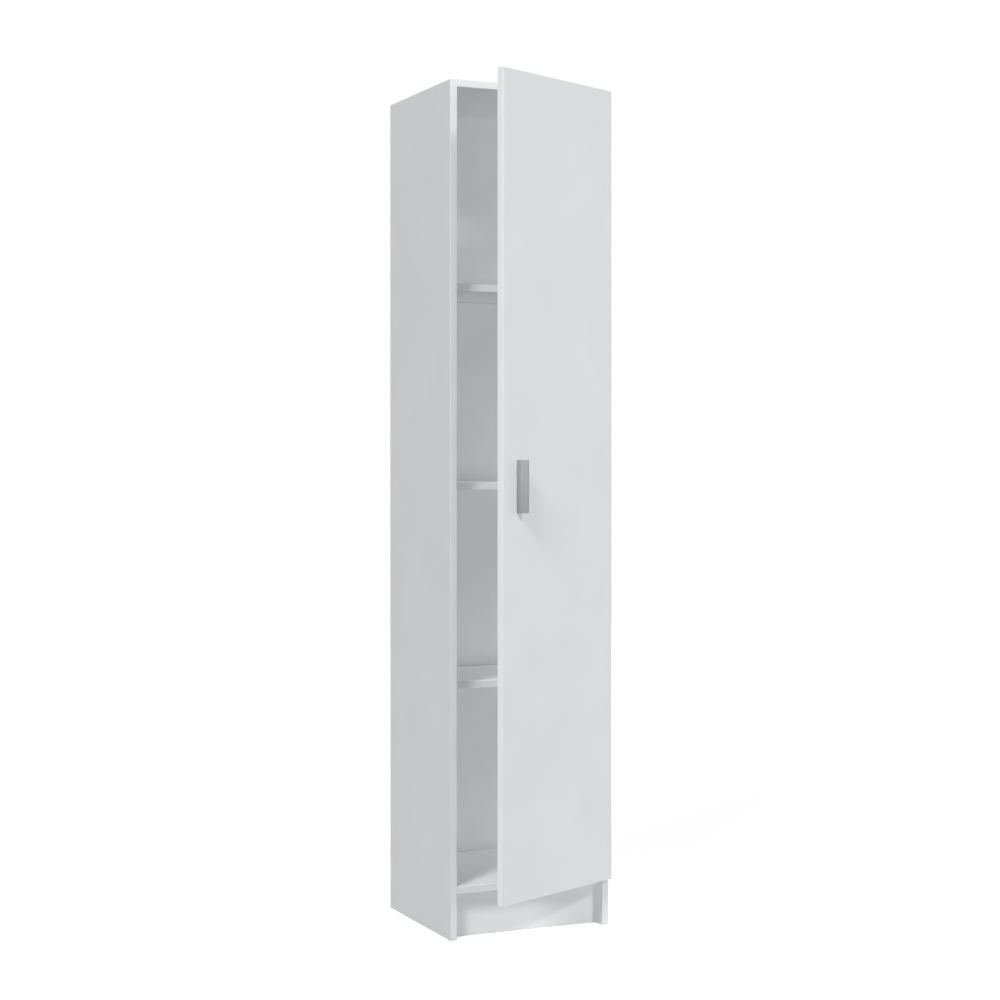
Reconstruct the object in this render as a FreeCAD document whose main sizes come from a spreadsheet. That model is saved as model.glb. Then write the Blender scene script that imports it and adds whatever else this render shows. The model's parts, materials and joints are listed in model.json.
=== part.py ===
import FreeCAD, Part
import os
import re
import Sketcher

# A tall cupboard: a board carcass with three shelves, and one door on three single-pivot cup hinges.
# Millimetres. The origin is on the floor in the middle of the carcass, +X right, +Y back, +Z up.
# The door stands ajar, and its pieces are drawn shut, about the hinge axis, and then turned open.

sizes = {
    # Carcass boards
    "cabinet_height": 1800,
    "cabinet_width": 370,
    "cabinet_depth": 350,
    "board_thickness": 15,
    "back_thickness": 3,
    "back_inset": 1,
    "band_thickness": 0.8,
    "plinth_height": 97,
    "plinth_recess": 30,
    "shelf_setback": 55,
    "shelf_side_gap": 1,
    "shelf_back_gap": 2,
    # Clearance of every piece in its own hole, and how far a cutter runs past a face
    "fit_clearance": 0.05,
    "cut_overrun": 1,
    # Cam fittings between the sides and the fixed boards
    "cam_radius": 7.4,
    "cam_cover": 3,
    "cam_reach": 34,
    "cam_edge_distance": 50,
    "cam_slot_width": 1.6,
    "cam_slot_depth": 1.5,
    "bolt_thread_radius": 2.5,
    "bolt_thread_length": 11,
    "bolt_shank_radius": 3.8,
    "bolt_neck_radius": 2,
    "bolt_head_radius": 3,
    "bolt_head_length": 3,
    "cap_radius": 8.8,
    "cap_thickness": 1,
    # Wooden dowels
    "dowel_radius": 4,
    "dowel_length": 30,
    "dowel_side_depth": 10,
    "dowel_pitch": 32,
    # Shelf supports and their rows of holes
    "support_pin_radius": 2.5,
    "support_pin_depth": 8,
    "support_row_inset": 37,
    "support_pitch": 32,
    "rest_width": 10,
    "rest_reach": 9,
    "rest_height": 6,
    # Nails of the back panel
    "nail_radius": 0.8,
    "nail_length": 20,
    "nail_head_radius": 1.9,
    "nail_head_thickness": 0.8,
    # Wall bracket inside the top
    "bracket_width": 34,
    "bracket_leg": 26,
    "bracket_thickness": 2,
    "bracket_side_distance": 45,
    "bracket_hole_drop": 16,
    "wall_hole_radius": 3,
    "bracket_screw_spacing": 18,
    "bracket_screw_radius": 1.75,
    "bracket_screw_length": 12,
    "bracket_screw_head_radius": 3.4,
    "bracket_screw_head_height": 1.8,
    # Door
    "door_thickness": 15,
    "door_gap": 3,
    "door_reveal": 2,
    "door_overlap": 10,
    "door_open_angle": 26,
    "bumper_radius": 4,
    "bumper_thickness": 2.6,
    "bumper_inset": 8,
    "bumper_end_distance": 40,
    # Hinge axis, from the door's hinge edge and from its back face
    "pivot_inset": 6.5,
    "pivot_depth": 7.4,
    "hinge_opening_angle": 95,
    "hinge_end_distance": 95,
    # Hinge pin and arm
    "hinge_pin_radius": 1.25,
    "hinge_pin_seat": 2.5,
    "eye_radius": 2.15,
    "eye_height": 7,
    "neck_thickness": 3.4,
    "neck_rise": 16,
    "arm_height": 14,
    # Hinge cup in the door
    "cup_radius": 17.5,
    "cup_depth": 11.5,
    "cup_edge_distance": 3,
    "cheek_half_width": 5,
    "cup_hollow_length": 22,
    "cup_hollow_height": 19,
    "slot_clearance": 0.3,
    "flange_thickness": 1.2,
    "flange_rim": 0.8,
    "flange_width": 14,
    "flange_height": 62,
    "cup_screw_offset": 6,
    "cup_screw_spacing": 48,
    "cup_screw_radius": 1.75,
    "cup_screw_depth": 10,
    "cup_screw_head_radius": 3.2,
    "cup_screw_head_height": 1.2,
    # Mounting plate on the side panel
    "plate_line": 37,
    "plate_length": 32,
    "plate_wing_thickness": 1.6,
    "plate_wing_length": 16,
    "plate_wing_height": 50,
    "plate_screw_spacing": 32,
    "plate_screw_radius": 2.5,
    "plate_screw_depth": 11,
    "plate_screw_head_radius": 4.4,
    "plate_screw_head_height": 2,
    "arm_screw_spacing": 18,
    "arm_screw_radius": 2,
    "arm_screw_head_radius": 3.6,
    "arm_screw_head_height": 2.2,
    # Handle, a wing section of one length, screwed on from inside the door
    "handle_length": 108,
    "handle_inset": 43,
    "handle_stand_out": 22,
    "handle_tip_reach": 11,
    "handle_wall": 2.6,
    "handle_bead_radius": 1.9,
    "handle_base_width": 12,
    "handle_base_thickness": 4,
    "handle_screw_spacing": 96,
    "handle_screw_radius": 2,
    "handle_screw_cover": 0.6,
    "handle_screw_head_radius": 4,
    "handle_screw_head_height": 2,
}

plinth_dowel_shares = (0.3, 0.7)
rail_nail_shares = (-0.27, 0.27)
side_nail_count = 8

right = (1, 0, 0)
left = (-1, 0, 0)
back = (0, 1, 0)
up = (0, 0, 1)
down = (0, 0, -1)

doc = FreeCAD.newDocument("TallCupboard")
sheet = doc.addObject("Spreadsheet::Sheet", "Size")
for row, (alias, value) in enumerate(sizes.items(), start=1):
    sheet.set(f"A{row}", alias)
    sheet.set(f"B{row}", str(value))
    sheet.setAlias(f"B{row}", alias)
doc.recompute()

pieces = []


def formula(text):
    # Every word that names a size points at its cell.
    return re.sub(r"[a-z][a-z_]+", lambda word: f"Size.{word[0]}" if word[0] in sizes else word[0], text)


def bind(obj, **formulas):
    for path, text in formulas.items():
        obj.setExpression(path.replace("__", "."), formula(text))


def place(obj, x="0", y="0", z="0"):
    bind(obj, Placement__Base__x=x, Placement__Base__y=y, Placement__Base__z=z)


def turn(obj, angle):
    # About the vertical, so the axis is set first and the angle follows its formula.
    obj.Placement = FreeCAD.Placement(FreeCAD.Vector(), FreeCAD.Rotation(FreeCAD.Vector(*up), 1))
    bind(obj, Placement__Rotation__Angle=angle)


def box(name, low, size):
    obj = doc.addObject("Part::Box", name)
    bind(obj, Length=size[0], Width=size[1], Height=size[2])
    place(obj, *low)
    return obj


def rod(name, radius, length, start, toward):
    obj = doc.addObject("Part::Cylinder", name)
    bind(obj, Radius=radius, Height=length)
    rotation = FreeCAD.Rotation(FreeCAD.Vector(*up), FreeCAD.Vector(*toward))
    obj.Placement = FreeCAD.Placement(FreeCAD.Vector(), rotation)
    place(obj, *start)
    return obj


def join(name, objects):
    obj = doc.addObject("Part::MultiFuse", name)
    obj.Shapes = objects
    return obj


def cut(name, base, tools):
    obj = doc.addObject("Part::Cut", name)
    obj.Base = base
    obj.Tool = tools[0] if len(tools) == 1 else join(f"{name}_cutters", tools)
    return obj


def group(name, objects):
    obj = doc.addObject("Part::Compound", name)
    obj.Links = objects
    return obj


def piece(label, obj):
    obj.Label = label
    pieces.append(obj)
    return obj


# Planes that several pieces share
half_width = "(cabinet_width / 2)"
inside = "(cabinet_width / 2 - board_thickness)"
front = "(-cabinet_depth / 2)"
rear = "(cabinet_depth / 2 - back_thickness)"
front_cam_line = f"({front} + cam_edge_distance)"
rear_cam_line = "(cabinet_depth / 2 - cam_edge_distance)"
cam_depth = "(board_thickness - cam_cover)"
bottom_top = "(plinth_height + board_thickness)"
top_under = "(cabinet_height - board_thickness)"
shelf_names = ("lower_shelf", "middle_shelf", "upper_shelf")
shelf_count = len(shelf_names)
clear_height = f"(({top_under} - {bottom_top} - {shelf_count} * board_thickness) / {shelf_count + 1})"
shelf_unders = {
    name: f"({bottom_top} + {number} * {clear_height} + {number - 1} * board_thickness)"
    for number, name in enumerate(shelf_names, start=1)
}
shelf_front = f"({front} + shelf_setback)"
sides = {"left": -1, "right": 1}


def across(sign, distance):
    # A place on the left or right half, at a distance from the middle plane.
    return f"{sign} * ({distance})"


def toward(sign):
    return right if sign > 0 else left


# Holes are gathered for each board while its fittings are placed, and cut when it is made.
holes = {
    name: []
    for name in ("left_side_panel", "right_side_panel", "top_panel", "bottom_panel", "middle_shelf",
                 "plinth_board", "back_panel", "door_panel", "handle", "wall_bracket")
}
cams = []
bolts = []
caps = []
dowels = []
supports = []
nails = []


def add_dowel(board, sign, y, z):
    panel = "right_side_panel" if sign > 0 else "left_side_panel"
    start = (across(sign, f"{inside} + dowel_side_depth"), y, z)
    dowels.append(rod("dowel", "dowel_radius", "dowel_length", start, toward(-sign)))
    deep = (across(sign, f"{inside} + dowel_side_depth + fit_clearance"), y, z)
    for owner in (panel, board):
        hole = rod("dowel_hole", "dowel_radius + fit_clearance", "dowel_length + 2 * fit_clearance",
                   deep, toward(-sign))
        holes[owner].append(hole)


def add_cam(board, sign, y, under, from_top):
    # A threaded bolt in the side is drawn into the board's end by a turning cam.
    panel = "right_side_panel" if sign > 0 else "left_side_panel"
    middle = f"({under} + board_thickness / 2)"
    cam_x = across(sign, f"{inside} - cam_reach")
    floor = f"({under} + cam_cover)" if from_top else f"({under} + {cam_depth})"
    way = up if from_top else down
    face = f"({under} + board_thickness)" if from_top else under
    pocket = rod("cam_pocket", "cam_radius + fit_clearance", f"{cam_depth} + cut_overrun",
                 (cam_x, y, floor), way)
    bore_start = (across(sign, f"{inside} + cut_overrun"), y, middle)
    bore = rod("bolt_bore", "bolt_shank_radius + fit_clearance", "cam_reach + cut_overrun",
               bore_start, toward(-sign))
    holes[board] += [pocket, bore]
    thread_end = (across(sign, f"{inside} + bolt_thread_length + fit_clearance"), y, middle)
    holes[panel].append(rod("thread_hole", "bolt_thread_radius + fit_clearance",
                            "bolt_thread_length + fit_clearance + cut_overrun", thread_end, toward(-sign)))

    shank_length = "(cam_reach - cam_radius - 2 * fit_clearance)"
    thread = rod("bolt_thread", "bolt_thread_radius", "bolt_thread_length",
                 (across(sign, inside), y, middle), toward(sign))
    shank = rod("bolt_shank", "bolt_shank_radius", shank_length,
                (across(sign, inside), y, middle), toward(-sign))
    neck = rod("bolt_neck", "bolt_neck_radius", "cam_reach",
               (across(sign, inside), y, middle), toward(-sign))
    head = rod("bolt_head", "bolt_head_radius", "bolt_head_length",
               (across(sign, f"{inside} - cam_reach + bolt_head_length / 2"), y, middle), toward(-sign))
    bolts.append(join("cam_bolt", [thread, shank, neck, head]))

    disc = rod("cam_disc", "cam_radius", cam_depth, (cam_x, y, floor), way)
    tunnel_start = (across(sign, f"{inside} - cam_reach - bolt_head_length / 2 - fit_clearance"), y, middle)
    tunnel = rod("cam_tunnel", "bolt_head_radius + fit_clearance", "cam_radius * 2",
                 tunnel_start, toward(sign))
    slot_low = (f"{cam_x} - cam_radius / 2", f"{y} - cam_slot_width / 2", f"{face} - cam_slot_depth")
    slot = box("cam_slot", slot_low, ("cam_radius", "cam_slot_width", "2 * cam_slot_depth"))
    cams.append(cut("cam_lock", disc, [tunnel, slot]))
    return cam_x, face


def add_rail(board, under, front_line, from_top, capped):
    for sign in sides.values():
        for y, inward in ((front_line, 1), (rear_cam_line, -1)):
            cam_x, face = add_cam(board, sign, y, under, from_top)
            add_dowel(board, sign, f"{y} + {inward} * dowel_pitch", f"({under} + board_thickness / 2)")
            if capped:
                caps.append(rod("cam_cap", "cap_radius", "cap_thickness", (cam_x, y, face), down))


add_rail("top_panel", top_under, front_cam_line, True, False)
add_rail("bottom_panel", "plinth_height", front_cam_line, False, False)
add_rail("middle_shelf", shelf_unders["middle_shelf"], f"({shelf_front} + cam_edge_distance)", False, True)

plinth_front = f"({front} + plinth_recess)"
for sign in sides.values():
    for share in plinth_dowel_shares:
        add_dowel("plinth_board", sign, f"({plinth_front} + board_thickness / 2)", f"plinth_height * {share}")

# Shelf supports under the two loose shelves, with a spare hole above and below each
support_rows = (f"({shelf_front} + support_row_inset)", f"({rear} - shelf_back_gap - support_row_inset)")
for shelf in ("lower_shelf", "upper_shelf"):
    under = shelf_unders[shelf]
    pin_height = f"({under} - rest_height / 2)"
    for side, sign in sides.items():
        for y in support_rows:
            pin = rod("support_pin", "support_pin_radius", "support_pin_depth",
                      (across(sign, inside), y, pin_height), toward(sign))
            low_x = f"{inside} - rest_reach" if sign > 0 else f"-{inside}"
            rest = box("support_rest", (low_x, f"{y} - rest_width / 2", f"{under} - rest_height"),
                       ("rest_reach", "rest_width", "rest_height"))
            supports.append(join("shelf_support", [pin, rest]))
            for step in (-1, 0, 1):
                start = (across(sign, f"{inside} - cut_overrun"), y, f"{pin_height} + {step} * support_pitch")
                holes[f"{side}_side_panel"].append(
                    rod("support_hole", "support_pin_radius + fit_clearance",
                        "support_pin_depth + cut_overrun + fit_clearance", start, toward(sign)))

# Nails through the back panel into the rear edges
back_low = "(plinth_height + back_inset)"
back_height = "(cabinet_height - plinth_height - 2 * back_inset)"


def add_nail(board, x, z):
    outer = "(cabinet_depth / 2)"
    shank = rod("nail_shank", "nail_radius", "nail_length", (x, f"{outer} - nail_length", z), back)
    head = rod("nail_head", "nail_head_radius", "nail_head_thickness",
               (x, f"{outer} - nail_head_thickness", z), back)
    nails.append(join("back_nail", [shank, head]))
    pilot_start = (x, f"{outer} - nail_length - fit_clearance", z)
    for owner in (board, "back_panel"):
        holes[owner].append(rod("nail_pilot", "nail_radius + fit_clearance", "nail_length + cut_overrun",
                                pilot_start, back))
    sink_start = (x, f"{outer} - nail_head_thickness - fit_clearance", z)
    holes["back_panel"].append(rod("nail_sink", "nail_head_radius + fit_clearance",
                                   "nail_head_thickness + cut_overrun", sink_start, back))


for side, sign in sides.items():
    for number in range(side_nail_count):
        height = f"{back_low} + {back_height} * {(number + 0.5) / side_nail_count}"
        add_nail(f"{side}_side_panel", across(sign, f"{half_width} - board_thickness / 2"), height)
for board, under in (("top_panel", top_under), ("bottom_panel", "plinth_height"),
                     ("middle_shelf", shelf_unders["middle_shelf"])):
    for share in rail_nail_shares:
        add_nail(board, f"cabinet_width * {share}", f"{under} + board_thickness / 2")

# Wall bracket: an angle under the top, against the back, for a screw into the wall
bracket = doc.addObject("PartDesign::Body", "bracket_body")
profile = bracket.newObject("Sketcher::SketchObject", "bracket_profile")
plane = [feature for feature in bracket.Origin.OriginFeatures if feature.Role == "YZ_Plane"][0]
profile.AttachmentSupport = [(plane, "")]
profile.MapMode = "FlatFace"
leg = sizes["bracket_leg"]
gauge = sizes["bracket_thickness"]
corners = [(0, 0), (-leg, 0), (-leg, -gauge), (-gauge, -gauge), (-gauge, -leg), (0, -leg)]
points = [FreeCAD.Vector(x, y, 0) for x, y in corners]
for start, end in zip(points, points[1:] + points[:1]):
    profile.addGeometry(Part.LineSegment(start, end), False)
for number in range(len(points)):
    profile.addConstraint(Sketcher.Constraint("Coincident", number, 2, (number + 1) % len(points), 1))
for number in (0, 2, 4):
    profile.addConstraint(Sketcher.Constraint("Horizontal", number))
for number in (1, 3, 5):
    profile.addConstraint(Sketcher.Constraint("Vertical", number))
profile.addConstraint(Sketcher.Constraint("Coincident", 0, 1, -1, 1))
for edge, axis, alias in ((0, "DistanceX", "bracket_leg"), (5, "DistanceY", "bracket_leg"),
                          (1, "DistanceY", "bracket_thickness"), (4, "DistanceX", "bracket_thickness")):
    ends = (edge, 2, edge, 1) if edge in (0, 1) else (edge, 1, edge, 2)
    index = profile.addConstraint(Sketcher.Constraint(axis, *ends, sizes[alias]))
    profile.setExpression(f"Constraints[{index}]", formula(alias))
angle = bracket.newObject("PartDesign::Pad", "bracket_pad")
angle.Profile = profile
angle.SideType = "Symmetric"
bind(angle, Length="bracket_width")
bracket_x = f"(bracket_side_distance - {inside})"
place(bracket, bracket_x, rear, top_under)

wall_hole_height = f"({top_under} - bracket_hole_drop)"
for owner in ("wall_bracket", "back_panel"):
    start = (bracket_x, f"{rear} - bracket_thickness - cut_overrun", wall_hole_height)
    holes[owner].append(rod("wall_hole", "wall_hole_radius",
                            "bracket_thickness + back_thickness + 2 * cut_overrun", start, back))
bracket_screws = []
for sign in sides.values():
    x = f"{bracket_x} + {sign} * bracket_screw_spacing / 2"
    y = f"({rear} - bracket_leg / 2 - bracket_thickness / 2)"
    seat = f"({top_under} - bracket_thickness)"
    shank = rod("bracket_screw_shank", "bracket_screw_radius", "bracket_screw_length", (x, y, seat), up)
    head = rod("bracket_screw_head", "bracket_screw_head_radius", "bracket_screw_head_height",
               (x, y, seat), down)
    bracket_screws.append(join("bracket_screw", [shank, head]))
    for owner in ("wall_bracket", "top_panel"):
        holes[owner].append(rod("bracket_screw_hole", "bracket_screw_radius + fit_clearance",
                                "bracket_screw_length + cut_overrun + fit_clearance",
                                (x, y, f"{seat} - cut_overrun"), up))
piece("wall_bracket", cut("bracket_drilled", bracket, holes["wall_bracket"]))
piece("wall_bracket_screws", group("bracket_screw_set", bracket_screws))

# Hinges: the arm and its plate stand on the right side panel, the cup and pin ride in the door.
axis_x = "(cabinet_width / 2 - door_reveal - pivot_inset)"
axis_y = "(-cabinet_depth / 2 - door_gap - pivot_depth)"
door_low = "(plinth_height + board_thickness - door_overlap)"
door_high = "(cabinet_height - door_reveal)"
hinge_heights = {
    "lower": f"({door_low} + hinge_end_distance)",
    "middle": f"({shelf_unders['middle_shelf']} + board_thickness + hinge_end_distance)",
    "upper": f"({door_high} - hinge_end_distance)",
}
# At full opening the neck stands square to the door, clears the cup's flange and turns to run along it.
neck_reach = "(pivot_depth + flange_thickness + neck_thickness / 2 + slot_clearance)"
neck_dip = f"({neck_reach} * cos(hinge_opening_angle))"
arm_x = f"({axis_x} - {neck_reach} * sin(hinge_opening_angle) + neck_rise * cos(hinge_opening_angle))"
arm_y = f"({axis_y} + {neck_dip} + neck_rise * sin(hinge_opening_angle))"
plate_y = f"({front} + plate_line)"
arm_face = f"({arm_x} - neck_thickness / 2)"
plate_face = f"({arm_x} + neck_thickness / 2)"
slot_half = "(eye_height / 2 + slot_clearance)"
cup_x = "(pivot_inset - cup_edge_distance - cup_radius)"
plate_screws = []
arm_screws = []
cup_screws = []


def hang(obj):
    # Turns a door piece open about the hinge axis.
    turn(obj, "door_open_angle")
    place(obj, axis_x, axis_y)
    return obj


def make_arm(name, height):
    eye = rod("eye", "eye_radius", "eye_height", ("0", "0", "-eye_height / 2"), up)
    reach = box("neck_reach_bar", ("0", "-neck_thickness / 2", "-eye_height / 2"),
                (neck_reach, "neck_thickness", "eye_height"))
    elbow = rod("neck_elbow", "neck_thickness / 2", "eye_height", (neck_reach, "0", "-eye_height / 2"), up)
    rise = box("neck_rise_bar", (f"{neck_reach} - neck_thickness / 2", "-neck_rise", "-eye_height / 2"),
               ("neck_thickness", "neck_rise", "eye_height"))
    neck = join("neck", [eye, reach, elbow, rise])
    turn(neck, "90 + hinge_opening_angle")
    place(neck, axis_x, axis_y, height)
    heel = rod("arm_heel", "neck_thickness / 2", "arm_height",
               (arm_x, arm_y, f"{height} - arm_height / 2"), up)
    bar = box("arm_bar", (arm_face, arm_y, f"{height} - arm_height / 2"),
              ("neck_thickness", f"{plate_y} + plate_length / 2 - {arm_y}", "arm_height"))
    eye_hole = rod("eye_hole", "hinge_pin_radius + fit_clearance", "eye_height + 2 * cut_overrun",
                   (axis_x, axis_y, f"{height} - eye_height / 2 - cut_overrun"), up)
    cutters = [eye_hole]
    for sign in sides.values():
        y = f"{plate_y} + {sign} * arm_screw_spacing / 2"
        cutters.append(rod("arm_screw_hole", "arm_screw_radius + fit_clearance",
                           "neck_thickness + 2 * cut_overrun",
                           (f"{arm_face} - cut_overrun", y, height), right))
    whole = join(f"{name}_arm", [neck, heel, bar])
    return piece(f"{name}_hinge_arm", cut(f"{name}_arm_drilled", whole, cutters))


def make_plate(name, height):
    body = box("plate_body", (plate_face, f"{plate_y} - plate_length / 2", f"{height} - arm_height / 2"),
               (f"{inside} - {plate_face}", "plate_length", "arm_height"))
    wing = box("plate_wing", (f"{inside} - plate_wing_thickness", f"{plate_y} - plate_wing_length / 2",
                              f"{height} - plate_wing_height / 2"),
               ("plate_wing_thickness", "plate_wing_length", "plate_wing_height"))
    cutters = []
    for sign in sides.values():
        z = f"{height} + {sign} * plate_screw_spacing / 2"
        seat = f"({inside} - plate_wing_thickness)"
        shank = rod("plate_screw_shank", "plate_screw_radius", "plate_wing_thickness + plate_screw_depth",
                    (seat, plate_y, z), right)
        head = rod("plate_screw_head", "plate_screw_head_radius", "plate_screw_head_height",
                   (seat, plate_y, z), left)
        plate_screws.append(join("plate_screw", [shank, head]))
        hole_length = "plate_wing_thickness + plate_screw_depth + cut_overrun + fit_clearance"
        for owner in (cutters, holes["right_side_panel"]):
            owner.append(rod("plate_screw_hole", "plate_screw_radius + fit_clearance", hole_length,
                             (f"{seat} - cut_overrun", plate_y, z), right))
        y = f"{plate_y} + {sign} * arm_screw_spacing / 2"
        grip = f"({inside} - {arm_face})"
        shank = rod("arm_screw_shank", "arm_screw_radius", f"{grip} - fit_clearance",
                    (arm_face, y, height), right)
        head = rod("arm_screw_head", "arm_screw_head_radius", "arm_screw_head_height",
                   (arm_face, y, height), left)
        arm_screws.append(join("arm_screw", [shank, head]))
        cutters.append(rod("arm_screw_thread", "arm_screw_radius + fit_clearance", grip,
                           (arm_face, y, height), right))
    whole = join(f"{name}_plate", [body, wing])
    return piece(f"{name}_hinge_plate", cut(f"{name}_plate_drilled", whole, cutters))


def make_cup(name, height):
    depth_place = "(pivot_depth - cup_depth)"
    shell = rod("cup_shell", "cup_radius", "cup_depth", (cup_x, depth_place, height), back)
    rim = rod("cup_rim", "cup_radius + flange_rim", "flange_thickness", (cup_x, "pivot_depth", height), back)
    screw_x = f"({cup_x} - cup_screw_offset)"
    wing = box("cup_wing", (f"{screw_x} - flange_width / 2", "pivot_depth", f"{height} - flange_height / 2"),
               ("flange_width", "flange_thickness", "flange_height"))
    floor = f"(min({neck_dip} - neck_thickness / 2; -eye_radius) - slot_clearance)"
    open_depth = f"pivot_depth - {floor} + flange_thickness + cut_overrun"
    slot = box("cup_slot", ("-2 * cheek_half_width", floor, f"{height} - {slot_half}"),
               ("eye_radius + slot_clearance + 2 * cheek_half_width", open_depth, f"2 * {slot_half}"))
    hollow_low = ("-cheek_half_width - cup_hollow_length", floor, f"{height} - cup_hollow_height / 2")
    hollow = box("cup_hollow", hollow_low, ("cup_hollow_length", open_depth, "cup_hollow_height"))
    pin_low = f"({height} - {slot_half} - hinge_pin_seat)"
    pin_length = f"(2 * {slot_half} + 2 * hinge_pin_seat)"
    pin_hole = rod("cup_pin_hole", "hinge_pin_radius + fit_clearance", f"{pin_length} + 2 * fit_clearance",
                   ("0", "0", f"{pin_low} - fit_clearance"), up)
    cutters = [slot, hollow, pin_hole]
    holes["door_panel"].append(rod("cup_bore", "cup_radius + fit_clearance",
                                   "cup_depth + fit_clearance + cut_overrun",
                                   (cup_x, f"{depth_place} - fit_clearance", height), back))
    for sign in sides.values():
        z = f"{height} + {sign} * cup_screw_spacing / 2"
        seat = "(pivot_depth + flange_thickness)"
        start = (screw_x, "pivot_depth - cup_screw_depth", z)
        shank = rod("cup_screw_shank", "cup_screw_radius", "cup_screw_depth + flange_thickness", start, back)
        head = rod("cup_screw_head", "cup_screw_head_radius", "cup_screw_head_height",
                   (screw_x, seat, z), back)
        cup_screws.append(join("cup_screw", [shank, head]))
        for owner in (cutters, holes["door_panel"]):
            owner.append(rod("cup_screw_hole", "cup_screw_radius + fit_clearance",
                             "cup_screw_depth + flange_thickness + cut_overrun + fit_clearance",
                             (screw_x, "pivot_depth - cup_screw_depth - fit_clearance", z), back))
    pin = rod(f"{name}_pin", "hinge_pin_radius", pin_length, ("0", "0", pin_low), up)
    piece(f"{name}_hinge_pin", hang(group(f"{name}_pin_placed", [pin])))
    cup = cut(f"{name}_cup_hollowed", join(f"{name}_cup", [shell, rim, wing]), cutters)
    return piece(f"{name}_hinge_cup", hang(cup))


for name, height in hinge_heights.items():
    make_arm(name, height)
    make_plate(name, height)
    make_cup(name, height)
piece("hinge_plate_screws", group("plate_screw_set", plate_screws))
piece("hinge_arm_screws", group("arm_screw_set", arm_screws))
piece("hinge_cup_screws", hang(group("cup_screw_set", cup_screws)))

# Handle: a wing that curves out from its base, with a bead along its tip for the fingers
door_width = "(cabinet_width - 2 * door_reveal)"
free_edge = f"(pivot_inset - {door_width})"
door_face = "(pivot_depth - door_thickness)"
door_middle = f"(({door_low} + {door_high}) / 2)"
handle_low = f"({door_middle} - handle_length / 2)"
handle_x = f"({free_edge} + handle_inset)"
wing_radius = "((handle_tip_reach ^ 2 + handle_stand_out ^ 2) / (2 * handle_tip_reach))"
wing_angle = f"asin(handle_stand_out / {wing_radius})"
outer_wing = rod("wing_outside", wing_radius, "handle_length",
                 (f"{handle_x} + {wing_radius}", door_face, handle_low), up)
turn(outer_wing, "180")
bind(outer_wing, Angle=wing_angle)
inner_wing = rod("wing_inside", f"{wing_radius} - handle_wall", "handle_length + 2 * cut_overrun",
                 (f"{handle_x} + {wing_radius}", door_face, f"{handle_low} - cut_overrun"), up)
base = box("handle_base", (handle_x, f"{door_face} - handle_base_thickness", handle_low),
           ("handle_base_width", "handle_base_thickness", "handle_length"))
bead_place = f"({wing_radius} - handle_wall / 2)"
bead = rod("handle_bead", "handle_bead_radius", "handle_length",
           (f"{handle_x} + {wing_radius} - {bead_place} * cos({wing_angle})",
            f"{door_face} - {bead_place} * sin({wing_angle})", handle_low), up)
wing = cut("handle_wing", outer_wing, [inner_wing])
handle_screws = []
screw_bite = "(handle_base_thickness - handle_screw_cover)"
screw_x = f"({handle_x} + handle_base_width / 2)"
for sign in sides.values():
    z = f"{door_middle} + {sign} * handle_screw_spacing / 2"
    start = (screw_x, f"{door_face} - {screw_bite}", z)
    shank = rod("handle_screw_shank", "handle_screw_radius", f"door_thickness + {screw_bite}", start, back)
    head = rod("handle_screw_head", "handle_screw_head_radius", "handle_screw_head_height",
               (screw_x, "pivot_depth", z), back)
    handle_screws.append(join("handle_screw", [shank, head]))
    deep = (screw_x, f"{door_face} - {screw_bite} - fit_clearance", z)
    for owner in ("handle", "door_panel"):
        holes[owner].append(rod("handle_screw_hole", "handle_screw_radius + fit_clearance",
                                f"door_thickness + {screw_bite} + cut_overrun", deep, back))
piece("handle", hang(cut("handle_drilled", join("handle_section", [wing, base, bead]), holes["handle"])))
piece("handle_screws", hang(group("handle_screw_set", handle_screws)))

# Door panel inside its four edge bands, and two bumpers by its free edge
door_height = f"({door_high} - {door_low})"
core = box("door_core", (f"{free_edge} + band_thickness", door_face, f"{door_low} + band_thickness"),
           (f"{door_width} - 2 * band_thickness", "door_thickness", f"{door_height} - 2 * band_thickness"))
piece("door_panel", hang(cut("door_drilled", core, holes["door_panel"])))
upright = ("band_thickness", "door_thickness", door_height)
level = (f"{door_width} - 2 * band_thickness", "door_thickness", "band_thickness")
door_bands = [
    box("free_edge_band", (free_edge, door_face, door_low), upright),
    box("hinge_edge_band", ("pivot_inset - band_thickness", door_face, door_low), upright),
    box("door_foot_band", (f"{free_edge} + band_thickness", door_face, door_low), level),
    box("door_head_band",
        (f"{free_edge} + band_thickness", door_face, f"{door_high} - band_thickness"), level),
]
piece("door_edge_bands", hang(group("door_band_set", door_bands)))
bumpers = [
    rod("bumper", "bumper_radius", "bumper_thickness",
        (f"{free_edge} + bumper_inset", "pivot_depth", z), back)
    for z in (f"{door_low} + bumper_end_distance", f"{door_high} - bumper_end_distance")
]
piece("door_bumpers", hang(group("bumper_set", bumpers)))

# Carcass boards, each with an edge band on its front
board_front = f"({front} + band_thickness)"
board_depth = f"({rear} - {board_front})"
side_bands = []
for side, sign in sides.items():
    low_x = inside if sign > 0 else f"-{half_width}"
    blank = box(f"{side}_side_blank", (low_x, board_front, "0"),
                ("board_thickness", board_depth, "cabinet_height"))
    piece(f"{side}_side_panel", cut(f"{side}_side_drilled", blank, holes[f"{side}_side_panel"]))
    side_bands.append(box("side_band", (low_x, front, "0"),
                          ("board_thickness", "band_thickness", "cabinet_height")))
piece("side_edge_bands", group("side_band_set", side_bands))

rail_length = f"(2 * {inside})"
rail_bands = []
for board, under in (("top_panel", top_under), ("bottom_panel", "plinth_height")):
    blank = box(f"{board}_blank", (f"-{inside}", board_front, under),
                (rail_length, board_depth, "board_thickness"))
    piece(board, cut(f"{board}_drilled", blank, holes[board]))
    rail_bands.append(box("rail_band", (f"-{inside}", front, under),
                          (rail_length, "band_thickness", "board_thickness")))
piece("rail_edge_bands", group("rail_band_set", rail_bands))

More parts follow.
